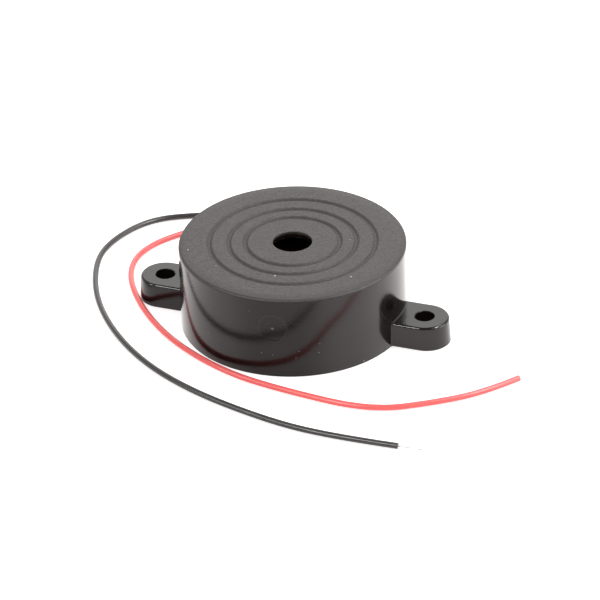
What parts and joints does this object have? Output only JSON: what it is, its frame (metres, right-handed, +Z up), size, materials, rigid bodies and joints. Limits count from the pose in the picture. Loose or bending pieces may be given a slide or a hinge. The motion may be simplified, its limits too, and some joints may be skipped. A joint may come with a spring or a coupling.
{
  "type": "piezo buzzer",
  "caption": "Round moulded piezo buzzer with a central sound hole, shallow ring grooves on top, opposed fixing ears and red and black flying leads with bare ends.",
  "frame": {"origin": "centre of the round housing on its base plane", "axes": "+X along the line of the fixing ears, +Z up out of the sound hole, leads leave towards +Y"},
  "size_m": [0.0908, 0.0712, 0.016],
  "materials": {
    "moulded_plastic": "black ABS, glossy wall and ears, fine-grained matt top",
    "cover_plastic": "black ABS, matt",
    "brass": "rolled sheet",
    "piezo_ceramic": "sintered",
    "silver": "fired silver print",
    "silicone": "white silicone bead",
    "board": "paper laminate",
    "copper": "etched copper",
    "component_black": "moulded epoxy",
    "ferrite": "sintered ferrite",
    "winding": "enamelled copper wire",
    "diode_glass": "sealed glass body",
    "resistor_body": "lacquered",
    "tinned_wire": "tinned copper",
    "solder": "soldered joint",
    "red_pvc": "PVC insulation",
    "black_pvc": "PVC insulation",
    "white_pvc": "PVC insulation",
    "blue_pvc": "PVC insulation"
  },
  "bodies": {
    "root": {"housing": "moulded_plastic", "back_cover": "cover_plastic", "brass_diaphragm": "brass", "piezo_ceramic": "piezo_ceramic", "main_electrode": "silver", "feedback_electrode": "silver", "silicone_bond": "silicone", "circuit_board": "board", "copper_tracks": "copper", "transistor": "component_black", "transistor_legs": "tinned_wire", "choke_core": "ferrite", "choke_winding": "winding", "choke_pins": "tinned_wire", "polarity_diode": "diode_glass", "diode_legs": "tinned_wire", "bias_resistor": "resistor_body", "feedback_resistor": "resistor_body", "base_resistor": "resistor_body", "resistor_legs": "tinned_wire", "board_solder": "solder", "element_solder": "solder", "lead_solder": "solder", "red_lead": "red_pvc", "red_lead_tip": "tinned_wire", "red_lead_tail": "tinned_wire", "black_lead": "black_pvc", "black_lead_tip": "tinned_wire", "black_lead_tail": "tinned_wire", "plate_wire": "black_pvc", "main_wire": "white_pvc", "feedback_wire": "blue_pvc"}
  },
  "joints": []
}
